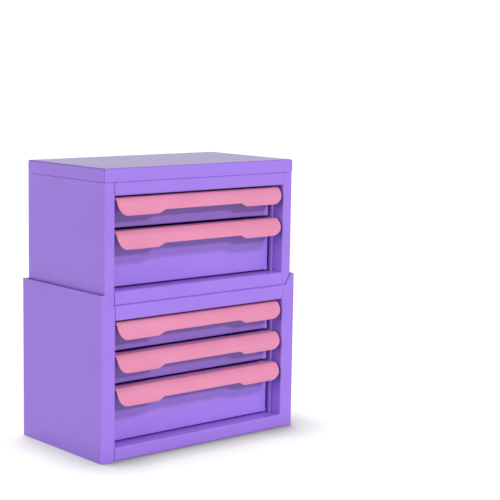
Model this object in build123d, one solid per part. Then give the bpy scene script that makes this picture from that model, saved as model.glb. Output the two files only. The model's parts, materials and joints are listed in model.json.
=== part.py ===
from build123d import *
from math import acos, cos, degrees, radians
import os

# Stackable desk organizer in folded sheet steel: a lower chest with three drawers, an upper
# chest with two drawers and a tray under a hinged lid. The upper chest stands on the deck of
# the lower one, inside a low collar.
# Millimetres. +X is right, +Y is back, +Z is up. The origin lies on the floor under the middle
# of the whole organizer, with every drawer and the lid shut.

# Upper chest, outside sizes
upper_width = 269.4
upper_depth = 148.4

# Collar of the lower chest, which fits round the foot of the upper one
upper_setback = 1.7
collar_side_room = 4.5
collar_rear_room = 0.3
collar_edge = 2.8
collar_height = 12.7
collar_tab_width = 5.7
collar_slope_run = 7.9

# Sheet metal
sheet = 0.8
bend = 0.6

# Front frame, shared by both chests
stile_width = 13.1
return_depth = 15.2
rail_height = 15.3
deck_rail_height = 16.4
shelf_depth = 24.0
shelf_lip = 6.0
deck_rail_lip = 10.0
tray_rail_height = 14.5
tray_edge = 5.0

# Inner side panels and the channels that carry the drawers
liner_flange = 3.6
runner_reach = 7.6
runner_sheet = 0.8

# Drawers
drawer_sheet = 0.7
drawer_bend = 0.8
shallow_height = 34.7
deep_height = 62.4
drawer_gap = 2.1
sill_gap = 1.5
head_gap = 2.5
front_side_gap = 6.6
front_fold = 5.5
front_corner = 3.0
front_inset = 18.5
pan_rear_room = 6.7
pan_lift = 1.6
pan_drop = 6.0
pan_front_drop = 13.0
lip_thickness = 1.4
slide_clearance = 0.3
side_clearance = 0.4
liner_clearance = 0.5

# Pulls
pull_side_gap = 3.8
pull_height = 19.5
pull_radius = 20.0
pull_slope = 36.0
pull_sheet = 1.0
pull_bend = 1.2
pull_flange = 14.0
flange_end_gap = 20.0
pull_reach = 2.2
pull_overrun = 8.0
pull_corner = 13.0
pull_shoulder = 2.0
pull_recess = 4.1
recess_width = 110.0
recess_slope = 8.0
recess_rounding = 2.5
rivet_end = 28.0
rivet_drop = 9.4
rivet_radius = 1.5
rivet_head = 2.3
rivet_head_height = 0.9
rivet_tail_height = 0.7
hole_clearance = 0.05

# Lid and its hinge
lid_height = 14.8
lid_fold = 1.2
lid_gap = 0.4
lid_seam = 0.4
lid_relief = 1.3
hinge_end_room = 14.0
hinge_knuckles = 7
hinge_leaf = 0.8
leaf_height = 12.0
hinge_radius = 1.7
hinge_pin = 0.9
hinge_pin_clearance = 0.05
hinge_play = 0.1
knuckle_gap = 0.2
knuckle_clearance = 0.5
hinge_drop = 0.4

# Places that follow from the sizes
lower_width = upper_width + 2 * (collar_side_room + sheet)
lower_depth = upper_setback + upper_depth + collar_rear_room + sheet + collar_edge
lower_front = -(lower_depth - pull_reach) / 2
upper_front = lower_front + upper_setback
hinge_recess = sheet + hinge_leaf + hinge_play
opening_width = upper_width - 2 * stile_width
front_width = opening_width - 2 * front_side_gap
pull_width = opening_width - 2 * pull_side_gap
hinge_length = upper_width - 2 * (sheet + hinge_end_room)
pan_length = upper_depth - hinge_recess - sheet - pan_rear_room - front_inset - drawer_sheet
pitch = shallow_height + drawer_gap
lower_opening = sill_gap + deep_height + 2 * pitch + head_gap
upper_opening = sill_gap + deep_height + pitch + head_gap
deck_height = rail_height + lower_opening + deck_rail_height
tray_height = deck_height + rail_height + upper_opening
lid_bottom = tray_height + tray_rail_height
lid_top = lid_bottom + lid_height
wall_top = lid_bottom - lid_gap
liner_face = opening_width / 2 - liner_flange
runner_start = front_inset + front_fold + liner_clearance
runner_gap = lip_thickness + 2 * slide_clearance
lip_reach = liner_face - runner_sheet - side_clearance
pan_half = liner_face - runner_reach - side_clearance
rivet_grip = pull_sheet + drawer_sheet
upright = (Align.CENTER, Align.CENTER, Align.MIN)


def folded(corners, thickness=sheet, inside=bend):
    # The corners run along one face of the sheet, and the metal lies on their right-hand side.
    near = [Vector(*corner) for corner in corners]
    ways = [(after - before).normalized() for before, after in zip(near, near[1:])]
    sides = [Vector(way.Y, -way.X) for way in ways]
    far = [near[0] + sides[0] * thickness]
    near_radii = []
    far_radii = []
    for corner, first, second, way, turn in zip(near[1:], sides, sides[1:], ways, ways[1:]):
        far.append(corner + (first + second) * (thickness / (1 + first.dot(second))))
        left_turn = way.cross(turn).Z > 0
        near_radii.append(inside if left_turn else inside + thickness)
        far_radii.append(inside + thickness if left_turn else inside)
    far.append(near[-1] + sides[-1] * thickness)
    edges = [FilletPolyline(*near, radius=near_radii), FilletPolyline(*far, radius=far_radii)]
    edges.append(Line(near[0], far[0]))
    edges.append(Line(near[-1], far[-1]))
    return make_face(edges)


def along_x(face, start, end):
    # Carries a face drawn in (y, z) from start to end.
    return extrude(Plane.YZ.offset(start) * face, end - start)


def along_y(face, start, end):
    # Carries a face drawn in (x, z) from start to end.
    return extrude(Plane.XZ.offset(-start) * face, start - end)


def along_z(face, start, end):
    # Carries a face drawn in (x, y) from start to end.
    return extrude(Plane.XY.offset(start) * face, end - start)


def block(x_span, y_span, z_span):
    size = [span[1] - span[0] for span in (x_span, y_span, z_span)]
    return Pos(x_span[0], y_span[0], z_span[0]) * Box(*size, align=(Align.MIN, Align.MIN, Align.MIN))


def riveted(shape, face, top):
    # Rivet holes through the sheets that lie against each other at the drawer front.
    for place in rivet_places_at(face, top):
        shape -= place * Cylinder(rivet_radius + hole_clearance, rivet_grip, align=upright)
    return shape


def save(name, shape):
    shape.label = name
    export_step(shape, "parts/" + name + ".step")


class Chest:
    # The frame that both chests share: folded sides, back, bottom pan, inner panels and runners.
    def __init__(self, name, width, depth, recess, front, base, ceiling, top):
        self.name = name
        self.half = width / 2
        self.inner = width / 2 - sheet
        self.front = front
        self.rear = front + depth
        self.back_face = self.rear - recess
        self.back_inside = self.back_face - sheet
        self.base = base
        self.ceiling = ceiling
        self.top = top
        self.sill = base + rail_height

    def side(self):
        # Wall, front stile and the return that runs back into the cabinet, bent from one sheet.
        # The return stops short of the sheets that cross the cabinet at its floor and ceiling.
        edge = opening_width / 2
        corners = [(self.half, self.rear), (self.half, self.front), (edge, self.front)]
        corners.append((edge, self.front + return_depth))
        panel = along_z(folded(corners), self.base, self.top)
        hidden = (edge - sheet, self.inner)
        reach = (self.front + sheet, self.front + return_depth + sheet)
        panel -= block(hidden, reach, (self.ceiling, self.top))
        return panel - block(hidden, reach, (self.base, self.base + sheet))

    def back(self, top):
        # Back panel between the sides, with edges folded rearwards.
        corners = [(self.inner, self.rear), (self.inner, self.back_inside)]
        corners += [(-self.inner, self.back_inside), (-self.inner, self.rear)]
        return along_z(folded(corners), self.base, top)

    def floor(self, height, up):
        # Flat sheet across the whole cabinet, behind the stiles.
        span = (height, height + sheet) if up else (height - sheet, height)
        return block((-self.inner, self.inner), (self.front + sheet, self.back_inside), span)

    def bottom(self):
        # Bottom sheet whose front edge rises as the rail and turns back as the sill.
        corners = [(self.back_inside, self.base), (self.front, self.base), (self.front, self.sill)]
        corners.append((self.front + shelf_depth, self.sill))
        corners.append((self.front + shelf_depth, self.sill - shelf_lip))
        rail = along_x(folded(corners), -opening_width / 2, opening_width / 2)
        return rail + self.floor(self.base, True)

    def liner(self):
        # Inner side panel: a narrow flange behind the return, then a wall that carries the runners.
        start = self.front + return_depth
        edge = opening_width / 2 + sheet
        corners = [(edge, start), (liner_face, start), (liner_face, self.back_inside)]
        return along_z(folded(corners), self.sill, self.ceiling)

    def runner(self, pan_top):
        # Channel, open towards the drawer, that holds the lip of a drawer side.
        low = pan_top - lip_thickness - slide_clearance - runner_sheet
        high = low + runner_gap + 2 * runner_sheet
        tip = liner_face - runner_reach
        reach = (self.front + runner_start, self.back_inside)
        bar = block((tip, liner_face), reach, (low, high))
        return bar - block((tip, liner_face - runner_sheet), reach, (low + runner_sheet, high - runner_sheet))

    def save_frame(self, back_top, tops):
        side = self.side()
        liner = self.liner()
        save(self.name + "_right_side", side)
        save(self.name + "_left_side", mirror(side, Plane.YZ))
        save(self.name + "_back_panel", self.back(back_top))
        save(self.name + "_bottom_pan", self.bottom())
        save(self.name + "_right_liner", liner)
        save(self.name + "_left_liner", mirror(liner, Plane.YZ))
        for number, top in enumerate(tops, 1):
            runner = self.runner(top - pan_drop)
            save(f"{self.name}_right_runner_{number}", runner)
            save(f"{self.name}_left_runner_{number}", mirror(runner, Plane.YZ))


class LowerChest(Chest):
    def side(self):
        # The stile ends in a tab of the collar, with a sloping edge down to the deck.
        edge = opening_width / 2
        tab = self.half - collar_tab_width
        foot = tab - collar_slope_run
        corners = [(edge - sheet, self.ceiling + sheet), (foot, self.ceiling + sheet), (tab, self.top)]
        corners.append((edge - sheet, self.top))
        notch = make_face(Polyline(*corners, close=True))
        return super().side() - along_y(notch, self.front - sheet, self.front + return_depth)

    def deck(self):
        # Deck that carries the upper chest. Its front edge turns down as the rail over the drawers.
        rail_bottom = deck_height - deck_rail_height
        corners = [(self.front + deck_rail_lip, rail_bottom), (self.front, rail_bottom)]
        corners += [(self.front, deck_height), (self.back_inside, deck_height)]
        rail = along_x(folded(corners), -opening_width / 2, opening_width / 2)
        return rail + self.floor(deck_height, False)


class UpperChest(Chest):
    def side(self):
        # A narrow edge turned sharply inwards along the top keeps the rim of the tray safe.
        inside = (self.inner - tray_edge, self.inner)
        rim = block(inside, (self.front + sheet, self.back_inside), (self.top - sheet, self.top))
        return super().side() + rim

    def tray(self):
        # Floor of the tray under the lid. Its front edge rises as the rail over the drawers, which
        # is turned inwards at the top as the sides are.
        reach = (-opening_width / 2, opening_width / 2)
        corners = [(self.back_inside, tray_height), (self.front, tray_height), (self.front, self.top)]
        rail = along_x(folded(corners), *reach)
        rim = block(reach, (self.front + sheet, self.front + tray_edge), (self.top - sheet, self.top))
        return rail + rim + self.floor(tray_height, True)


def drawer_pan(front, bottom, top):
    # Sheet folded up at both sides, with end walls set between them and a doubled lip along the
    # top of each side for the runners. The front wall stays below the rivets.
    start = front + front_inset + drawer_sheet
    end = start + pan_length
    low = bottom + pan_lift
    high = top - pan_drop
    corners = [(pan_half, high), (pan_half, low), (-pan_half, low), (-pan_half, high)]
    pan = along_y(folded(corners, drawer_sheet, drawer_bend), start, end)
    between = (drawer_sheet - pan_half, pan_half - drawer_sheet)
    pan += block(between, (start, start + drawer_sheet), (low, top - pan_front_drop))
    pan += block(between, (end - drawer_sheet, end), (low, high))
    for side in (-1, 1):
        span = sorted((side * (pan_half - drawer_sheet), side * lip_reach))
        pan += block(span, (front + runner_start, end), (high - lip_thickness, high))
    return pan


def drawer_front(front, bottom, top):
    # Panel whose four edges are folded back round the pan. The folds stop short of the corners,
    # which are rounded.
    face = front + front_inset
    back = face + front_fold
    half = front_width / 2
    high = top - drawer_sheet
    upright_fold = [(back, bottom), (face, bottom), (face, high), (back, high)]
    level_fold = [(half, back), (half, face), (-half, face), (-half, back)]
    inner_half = half - front_corner
    levels = (bottom + front_corner, high - front_corner)
    panel = along_x(folded(upright_fold, drawer_sheet, drawer_bend), -inner_half, inner_half)
    panel += along_z(folded(level_fold, drawer_sheet, drawer_bend), *levels)
    for x in (-inner_half, inner_half):
        for level in levels:
            disc = Cylinder(front_corner, drawer_sheet, align=upright)
            panel += Pos(x, face, level) * Rot(-90, 0, 0) * disc
    return riveted(panel, face, top)


def rivet_places_at(face, top):
    # One rivet near each end of the pull, from the front of its flange towards the back.
    places = (rivet_end - pull_width / 2, pull_width / 2 - rivet_end)
    return [Pos(x, face - pull_sheet, top - rivet_drop) * Rot(-90, 0, 0) for x in places]


def pull_section(face, front, top):
    # Flange against the drawer front, flat top, then a slope that curves down into an upright lip.
    # The lip runs on a few degrees past its lower edge, where the outline of the pull cuts it off.
    rise = pull_radius * cos(radians(pull_slope))
    centre = (front - pull_reach + pull_radius, top - rise)
    end = degrees(acos((rise - pull_height) / pull_radius)) + pull_overrun
    wires = []
    for depth, turn in ((0, pull_bend + pull_sheet), (pull_sheet, pull_bend)):
        back = face - depth
        radius = pull_radius - depth
        start = degrees(acos((rise - depth) / radius))
        curve = CenterArc(centre, radius, 90 + start, end - start)
        corners = [(back, top - pull_flange), (back, top - depth), curve @ 0]
        wires.append(FilletPolyline(*corners, radius=turn))
        wires.append(curve)
    wires.append(Line(wires[0] @ 0, wires[2] @ 0))
    wires.append(Line(wires[1] @ 1, wires[3] @ 1))
    section = make_face(wires)
    for level, turn in ((-2, pull_bend), (-1, pull_bend + pull_sheet)):
        corner = section.vertices().group_by(Axis.Y)[level].sort_by(Axis.X)[0]
        section = fillet(corner, turn)
    return section


def pull_outline(top):
    # Front view of a pull: rounded corners and a shallow recess along the middle.
    half = pull_width / 2
    low = top - pull_height
    inner = recess_width / 2
    outer = inner + recess_slope
    corners = [(-half, top), (half, top), (half, low), (outer, low), (inner, low + pull_recess)]
    corners += [(-inner, low + pull_recess), (-outer, low), (-half, low)]
    outline = make_face(Polyline(*corners, close=True))
    ends = outline.vertices().group_by(Axis.Y)
    outline = fillet([point for point in ends[0] if abs(point.X) > outer + sheet], pull_corner)
    outline = fillet(outline.vertices().group_by(Axis.Y)[-1], pull_shoulder)
    steps = [point for point in outline.vertices() if abs(point.X) < outer + sheet]
    return fillet(steps, recess_rounding)


def drawer_pull(front, top):
    # The flange and its bend stop short of the ends of the pull.
    face = front + front_inset
    half = pull_width / 2
    strip = along_x(pull_section(face, front, top), -half, half)
    strip = strip & along_y(pull_outline(top), front - 2 * pull_reach, face)
    for side in (-1, 1):
        end = sorted((side * (half - flange_end_gap), side * half))
        strip -= block(end, (face - pull_sheet - pull_bend, face), (top - pull_flange, top))
    return riveted(strip, face, top)


def pull_rivets(front, top):
    # Rivets through the pull and the drawer front.
    head = Cone(rivet_radius, rivet_head, rivet_head_height, align=upright)
    shank = Cylinder(rivet_radius, rivet_grip, align=upright)
    tail = Cone(rivet_head, rivet_radius, rivet_tail_height, align=upright)
    rivet = Pos(0, 0, -rivet_head_height) * head + shank + Pos(0, 0, rivet_grip) * tail
    return Compound([place * rivet for place in rivet_places_at(front + front_inset, top)])


def save_drawer(name, front, bottom, top):
    save(name + "_pan", drawer_pan(front, bottom, top))
    save(name + "_front", drawer_front(front, bottom, top))
    save(name + "_pull", drawer_pull(front, top))
    save(name + "_rivets", pull_rivets(front, top))


def drawer_rows(opening_top, count):
    # Bottom and top of each drawer, from the top one down. The lowest one is deep.
    rows = []
    top = opening_top - head_gap
    for number in range(count):
        height = deep_height if number == count - 1 else shallow_height
        rows.append((top - height, top))
        top -= height + drawer_gap
    return rows


def lid_shell(chest):
    # Cap as wide and deep as the chest, with a skirt on all four sides. The front corners are
    # open seams with a relief notch.
    cap = block((-chest.half, chest.half), (chest.front, chest.rear), (lid_bottom, lid_top))
    cap = fillet(cap.faces().sort_by(Axis.Z)[-1].edges(), lid_fold + sheet)
    cap = offset(cap, amount=-sheet, openings=cap.faces().sort_by(Axis.Z)[0])
    fold_start = lid_top - lid_fold - sheet
    seam_start = chest.front + sheet
    for side in (-1, 1):
        edge = sorted((side * (chest.half - sheet), side * (chest.half + sheet)))
        cap -= block(edge, (seam_start, seam_start + lid_seam), (lid_bottom, fold_start))
        relief = Pos(side * chest.half, seam_start + lid_seam / 2, fold_start) * Rot(0, 90, 0)
        cap -= relief * Cylinder(lid_relief / 2, 4 * sheet)
    return cap


def hinge_spans(moving):
    # Knuckles share the length of the hinge, the fixed leaf taking the odd ones.
    step = hinge_length / hinge_knuckles
    start = -hinge_length / 2
    gap = knuckle_gap / 2
    turns = range(1 if moving else 0, hinge_knuckles, 2)
    return [(start + turn * step + gap, start + (turn + 1) * step - gap) for turn in turns]


def hinge_leaf_shape(chest, moving):
    # Strip of sheet with every second knuckle rolled round the pin.
    axis_y, axis_z = hinge_axis(chest)
    if moving:
        face = chest.rear - sheet
        plate_y = (face - hinge_leaf, face)
        clear_z = (axis_z + hinge_radius + knuckle_clearance, axis_z + leaf_height)
        knuckle_z = (axis_z, clear_z[1])
    else:
        face = chest.back_face
        plate_y = (face, face + hinge_leaf)
        clear_z = (axis_z - leaf_height, axis_z - hinge_radius - knuckle_clearance)
        knuckle_z = (clear_z[0], axis_z)
    leaf = block((-hinge_length / 2, hinge_length / 2), plate_y, clear_z)
    spans = hinge_spans(moving)
    for span in spans:
        leaf += block(span, plate_y, knuckle_z)
        barrel = Plane.YZ.offset(span[0]) * Pos(axis_y, axis_z) * Circle(hinge_radius)
        leaf += extrude(barrel, span[1] - span[0])
    bore = Plane.YZ.offset(-hinge_length) * Pos(axis_y, axis_z) * Circle(hinge_pin + hinge_pin_clearance)
    return leaf - extrude(bore, 2 * hinge_length)


def hinge_axis(chest):
    # The pin runs just behind the chest and below the lid, so that the lid clears the walls.
    return chest.back_face + hinge_radius + hinge_play, lid_bottom - hinge_radius - hinge_drop


def hinge_pin_shape(chest):
    axis_y, axis_z = hinge_axis(chest)
    rod = Plane.YZ.offset(-hinge_length / 2) * Pos(axis_y, axis_z) * Circle(hinge_pin)
    return extrude(rod, hinge_length)


os.makedirs("parts", exist_ok=True)

lower_rows = drawer_rows(deck_height - deck_rail_height, 3)
upper_rows = drawer_rows(tray_height, 2)

lower = LowerChest(
    "lower", lower_width, lower_depth, collar_edge, lower_front, 0, deck_height - sheet,
    deck_height + collar_height
)
lower.save_frame(lower.top, [top for bottom, top in lower_rows])
save("lower_deck", lower.deck())

upper = UpperChest(
    "upper", upper_width, upper_depth, hinge_recess, upper_front, deck_height, tray_height, wall_top
)
upper.save_frame(wall_top, [top for bottom, top in upper_rows])
save("upper_tray", upper.tray())

save("lid_shell", lid_shell(upper))
save("hinge_fixed_leaf", hinge_leaf_shape(upper, False))
save("hinge_moving_leaf", hinge_leaf_shape(upper, True))
save("hinge_pin", hinge_pin_shape(upper))

for number, (bottom, top) in enumerate(lower_rows, 1):
    save_drawer(f"lower_drawer_{number}", lower_front, bottom, top)
for number, (bottom, top) in enumerate(upper_rows, 1):
    save_drawer(f"upper_drawer_{number}", upper_front, bottom, top)
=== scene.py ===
import json
import math

import bpy
from mathutils import Euler, Matrix

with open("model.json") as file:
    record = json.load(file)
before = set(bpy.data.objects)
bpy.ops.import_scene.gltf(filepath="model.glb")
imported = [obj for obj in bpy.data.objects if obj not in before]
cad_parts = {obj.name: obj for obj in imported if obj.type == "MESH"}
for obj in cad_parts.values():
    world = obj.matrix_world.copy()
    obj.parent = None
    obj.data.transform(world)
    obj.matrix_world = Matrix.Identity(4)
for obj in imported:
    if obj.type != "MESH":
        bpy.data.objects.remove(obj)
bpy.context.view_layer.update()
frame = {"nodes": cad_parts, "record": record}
print("frame loaded:", len(frame["nodes"]), "nodes")

mm = 0.001  # lengths that carry this factor are written in millimetres


# Camera

photoCamera = {
    "place": (-1013.8 * mm, -1296.5 * mm, 441.8 * mm),
    "turn": 39.564,  # degrees from straight at the front towards the right
    "tilt": 7.853,  # degrees downwards
    "roll": 0.691,  # degrees
    "focalPixels": 1430.6,  # in pixels of a picture 500 wide
    "opticalCentre": (200, 250),  # the object stands left of the middle of the picture
    "pictureSize": 500,
    "sensorWidth": 36,
    "nearest": 10 * mm,
    "farthest": 50,
}


def makeCamera(settings):
    data = bpy.data.cameras.new("photo_camera")
    size = settings["pictureSize"]
    data.sensor_width = settings["sensorWidth"]
    data.lens = settings["sensorWidth"] * settings["focalPixels"] / size
    data.shift_x = (size / 2 - settings["opticalCentre"][0]) / size
    data.shift_y = (settings["opticalCentre"][1] - size / 2) / size
    data.clip_start = settings["nearest"]
    data.clip_end = settings["farthest"]
    camera = bpy.data.objects.new("photo_camera", data)
    aim = Euler((math.radians(90 - settings["tilt"]), 0, -math.radians(settings["turn"])))
    roll = Matrix.Rotation(math.radians(settings["roll"]), 3, "Z")
    camera.rotation_mode = "QUATERNION"
    camera.rotation_quaternion = (aim.to_matrix() @ roll).to_quaternion()
    camera.location = settings["place"]
    bpy.context.scene.collection.objects.link(camera)
    bpy.context.scene.camera = camera


makeCamera(photoCamera)
print("camera placed")


# Node helpers

noiseSpan = (0.3, 0.7)  # nearly all values of a noise lie in this span


def newMaterial(name):
    material = bpy.data.materials.new(name)
    material.use_nodes = True
    nodes = material.node_tree.nodes
    shader = nodes["Principled BSDF"]
    return material, nodes, material.node_tree.links, shader


def noiseOf(nodes, links, place, grain, detail=2):
    noise = nodes.new("ShaderNodeTexNoise")
    noise.inputs["Scale"].default_value = 1 / grain  # grain is the size of one blotch in metres
    noise.inputs["Detail"].default_value = detail
    links.new(place, noise.inputs["Vector"])
    return noise.outputs["Fac"]


def spread(nodes, links, source, low, high):
    ramp = nodes.new("ShaderNodeMapRange")
    ramp.inputs["From Min"].default_value = noiseSpan[0]
    ramp.inputs["From Max"].default_value = noiseSpan[1]
    ramp.inputs["To Min"].default_value = low
    ramp.inputs["To Max"].default_value = high
    links.new(source, ramp.inputs["Value"])
    return ramp.outputs["Result"]


def colourBetween(nodes, links, source, first, second):
    ramp = nodes.new("ShaderNodeValToRGB")
    ramp.color_ramp.elements[0].position = noiseSpan[0]
    ramp.color_ramp.elements[1].position = noiseSpan[1]
    ramp.color_ramp.elements[0].color = (*first, 1)
    ramp.color_ramp.elements[1].color = (*second, 1)
    links.new(source, ramp.inputs["Fac"])
    return ramp.outputs["Color"]


def bumpOf(nodes, links, source, height, strength):
    bump = nodes.new("ShaderNodeBump")
    bump.inputs["Distance"].default_value = height
    bump.inputs["Strength"].default_value = strength
    links.new(source, bump.inputs["Height"])
    return bump.outputs["Normal"]


# Powder coat

purpleCoat = {
    "name": "purple_powder_coat",
    "deep": (0.268, 0.140, 0.615),
    "pale": (0.282, 0.150, 0.640),
    "cloudSize": 60 * mm,
    "cloudDetail": 4,
    "peelSize": 1.3 * mm,
    "peelHeight": 0.03 * mm,
    "peelStrength": 0.6,
    "gloss": (0.36, 0.44),  # roughness, from the smoothest to the dullest spot
    "baseShine": 0.26,
    "coatWeight": 0.65,
    "coatRoughness": 0.2,
}
pinkCoat = {
    "name": "pink_powder_coat",
    "deep": (0.580, 0.196, 0.322),
    "pale": (0.606, 0.210, 0.343),
    "cloudSize": 40 * mm,
    "cloudDetail": 4,
    "peelSize": 1.1 * mm,
    "peelHeight": 0.025 * mm,
    "peelStrength": 0.6,
    "gloss": (0.34, 0.42),
    "baseShine": 0.25,
    "coatWeight": 0.45,
    "coatRoughness": 0.2,
}


def powderCoat(settings):
    material, nodes, links, shader = newMaterial(settings["name"])
    place = nodes.new("ShaderNodeTexCoord").outputs["Object"]
    clouds = noiseOf(nodes, links, place, settings["cloudSize"], settings["cloudDetail"])
    peel = noiseOf(nodes, links, place, settings["peelSize"])
    colour = colourBetween(nodes, links, clouds, settings["deep"], settings["pale"])
    skin = bumpOf(nodes, links, peel, settings["peelHeight"], settings["peelStrength"])
    links.new(colour, shader.inputs["Base Color"])
    links.new(spread(nodes, links, clouds, *settings["gloss"]), shader.inputs["Roughness"])
    links.new(skin, shader.inputs["Normal"])
    shader.inputs["Specular IOR Level"].default_value = settings["baseShine"]
    shader.inputs["Coat Weight"].default_value = settings["coatWeight"]
    shader.inputs["Coat Roughness"].default_value = settings["coatRoughness"]
    return material


# Plated steel of the runners, hinge and rivets

zincPlate = {
    "name": "plated_steel",
    "deep": (0.50, 0.50, 0.52),
    "pale": (0.66, 0.66, 0.68),
    "spangleSize": 9 * mm,
    "spangleDetail": 3,
    "scratchWidth": 0.5 * mm,
    "scratchStretch": 12,  # length of a scratch over its width, along the rolling direction
    "scratchHeight": 0.01 * mm,
    "scratchStrength": 0.4,
    "gloss": (0.28, 0.46),
}


def platedSteel(settings):
    material, nodes, links, shader = newMaterial(settings["name"])
    place = nodes.new("ShaderNodeTexCoord").outputs["Object"]
    spangles = noiseOf(nodes, links, place, settings["spangleSize"], settings["spangleDetail"])
    stretch = settings["scratchStretch"]
    drawn = nodes.new("ShaderNodeMapping")
    drawn.inputs["Scale"].default_value = (1, stretch, stretch)
    links.new(place, drawn.inputs["Vector"])
    scratches = noiseOf(nodes, links, drawn.outputs["Vector"], settings["scratchWidth"] * stretch)
    colour = colourBetween(nodes, links, spangles, settings["deep"], settings["pale"])
    skin = bumpOf(nodes, links, scratches, settings["scratchHeight"], settings["scratchStrength"])
    links.new(colour, shader.inputs["Base Color"])
    links.new(spread(nodes, links, scratches, *settings["gloss"]), shader.inputs["Roughness"])
    links.new(skin, shader.inputs["Normal"])
    shader.inputs["Metallic"].default_value = 1
    return material


finishes = {
    "purple_enamel": powderCoat(purpleCoat),
    "pink_enamel": powderCoat(pinkCoat),
    "plated_steel": platedSteel(zincPlate),
}
for part in frame["record"]["subparts"]:
    piece = frame["nodes"][part["node"]]
    piece.data.materials.clear()
    piece.data.materials.append(finishes[part["material_slot"]])
print("finishes on every part")


# Floor

floorSheet = {
    "reach": 6.0,
    "drop": 0.3 * mm,  # how far the floor lies under the object
    "colour": (0.60, 0.60, 0.60),
    "fibreSize": 2 * mm,
    "roughness": (0.85, 0.95),
    "glow": 0.30,  # keeps the sheet white without lighting the object; a painted shadow darkens it near the object
    "shadowReach": 62 * mm,  # how far from the object its soft shadow fades out
    "shadowDepth": 0.24,  # what is left of the light where the object hides most of it
    "mostHidden": 0.3,  # share of the sky still open at the darkest spot
    "lightSide": (-0.05, 0.80, 1),  # the soft shadow falls away from this side
}


def softShadow(nodes, links, settings):
    # Painted shadow: the paper's colour and glow darken by how near the object is, seen mostly
    # towards the light's side.
    side = nodes.new("ShaderNodeVectorMath")
    side.operation = "NORMALIZE"
    side.inputs[0].default_value = settings["lightSide"]
    nearness = nodes.new("ShaderNodeAmbientOcclusion")
    nearness.inputs["Distance"].default_value = settings["shadowReach"]
    links.new(side.outputs["Vector"], nearness.inputs["Normal"])
    fade = nodes.new("ShaderNodeMapRange")
    fade.inputs["From Min"].default_value = settings["mostHidden"]
    fade.inputs["To Min"].default_value = settings["shadowDepth"]
    links.new(nearness.outputs["AO"], fade.inputs["Value"])
    return fade.outputs["Result"]


def studioPaper(settings):
    material, nodes, links, shader = newMaterial("studio_paper")
    place = nodes.new("ShaderNodeTexCoord").outputs["Object"]
    fibre = noiseOf(nodes, links, place, settings["fibreSize"])
    links.new(spread(nodes, links, fibre, *settings["roughness"]), shader.inputs["Roughness"])
    # Painted shadow on the paper's colour and glow, darker near the object.
    shade = softShadow(nodes, links, settings)
    paperAndPaintedShadow = nodes.new("ShaderNodeVectorMath")
    paperAndPaintedShadow.operation = "SCALE"
    paperAndPaintedShadow.inputs[0].default_value = settings["colour"]
    links.new(shade, paperAndPaintedShadow.inputs["Scale"])
    links.new(paperAndPaintedShadow.outputs["Vector"], shader.inputs["Base Color"])
    glow = nodes.new("ShaderNodeMath")
    glow.operation = "MULTIPLY"
    glow.inputs[1].default_value = settings["glow"]
    links.new(shade, glow.inputs[0])
    links.new(glow.outputs["Value"], shader.inputs["Emission Strength"])
    shader.inputs["Emission Color"].default_value = (1, 1, 1, 1)
    shader.inputs["Specular IOR Level"].default_value = 0
    return material


def makeFloor(settings):
    half = settings["reach"]
    mesh = bpy.data.meshes.new("studio_floor")
    corners = [(-half, -half), (half, -half), (half, half), (-half, half)]
    mesh.from_pydata([(x, y, -settings["drop"]) for x, y in corners], [], [(0, 1, 2, 3)])
    mesh.materials.append(studioPaper(settings))
    floor = bpy.data.objects.new("studio_floor", mesh)
    bpy.context.scene.collection.objects.link(floor)
    return floor


studioFloor = makeFloor(floorSheet)


# Light

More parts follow.
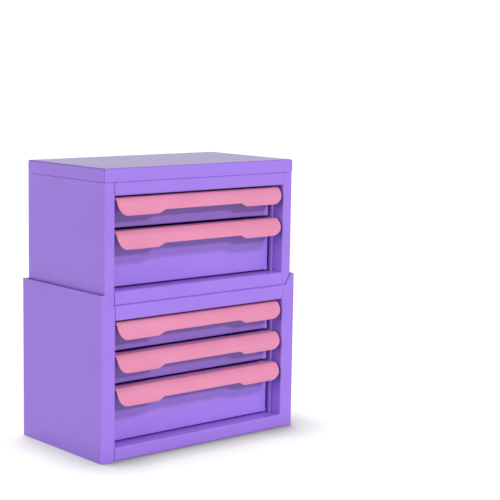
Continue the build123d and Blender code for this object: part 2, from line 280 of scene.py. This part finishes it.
highLamp = {  # turn is degrees from the front towards the right, height is degrees above the floor
    "name": "high_lamp",
    "turn": 22,
    "height": 41,
    "strength": 1.66,
    "softness": 8,  # degrees that the lamp fills in the sky
}
lowLamp = {"name": "low_lamp", "turn": 5, "height": 25, "strength": 1.26, "softness": 6}
leftLamp = {"name": "left_lamp", "turn": -82, "height": 12, "strength": 1.62, "softness": 25}
floorLamp = {"name": "floor_lamp", "turn": -150, "height": 70, "strength": 3.8, "softness": 60}
studioRoom = {
    "strength": 1.07,
    "levels": [(0, 1), (0.14, 0.9), (0.30, 0.14), (1, 0.08)],  # height of the direction, grey level
}


def floorAlone(source, state):
    # INCLUDE makes the source reach the floor alone, EXCLUDE everything but the floor.
    lit = bpy.data.collections.new(source.name + "_lit")
    lit.objects.link(studioFloor)
    lit.collection_objects[0].light_linking.link_state = state
    source.light_linking.receiver_collection = lit
    return lit


def makeLamp(settings):
    data = bpy.data.lights.new(settings["name"], "SUN")
    data.energy = settings["strength"]
    data.angle = math.radians(settings["softness"])
    lamp = bpy.data.objects.new(settings["name"], data)
    turn, height = math.radians(settings["turn"]), math.radians(settings["height"])
    level = math.cos(height)
    lamp.location = (level * math.sin(turn), -level * math.cos(turn), math.sin(height))
    lamp.rotation_mode = "QUATERNION"
    lamp.rotation_quaternion = (-lamp.location).to_track_quat("-Z", "Y")
    bpy.context.scene.collection.objects.link(lamp)
    return lamp


def makeRoom(settings):
    world = bpy.data.worlds.new("studio_room")
    world.use_nodes = True
    nodes, links = world.node_tree.nodes, world.node_tree.links
    direction = nodes.new("ShaderNodeTexCoord").outputs["Generated"]
    parts = nodes.new("ShaderNodeSeparateXYZ")
    links.new(direction, parts.inputs["Vector"])
    ramp = nodes.new("ShaderNodeValToRGB")
    elements = ramp.color_ramp.elements
    for spot, (height, grey) in enumerate(settings["levels"]):
        element = elements[spot] if spot < 2 else elements.new(height)  # a new ramp has two
        element.position = height
        element.color = (grey, grey, grey, 1)
    links.new(parts.outputs["Z"], ramp.inputs["Fac"])
    links.new(ramp.outputs["Color"], nodes["Background"].inputs["Color"])
    nodes["Background"].inputs["Strength"].default_value = settings["strength"]
    bpy.context.scene.world = world


for lampSettings in (highLamp, lowLamp, leftLamp):
    floorAlone(makeLamp(lampSettings), "EXCLUDE")
paperLamp = makeLamp(floorLamp)
paperLamp.light_linking.blocker_collection = floorAlone(paperLamp, "INCLUDE")  # casts no shadow
floorAlone(studioFloor, "INCLUDE")
makeRoom(studioRoom)
bpy.context.scene.view_settings.view_transform = "Standard"
print("floor and lights set")
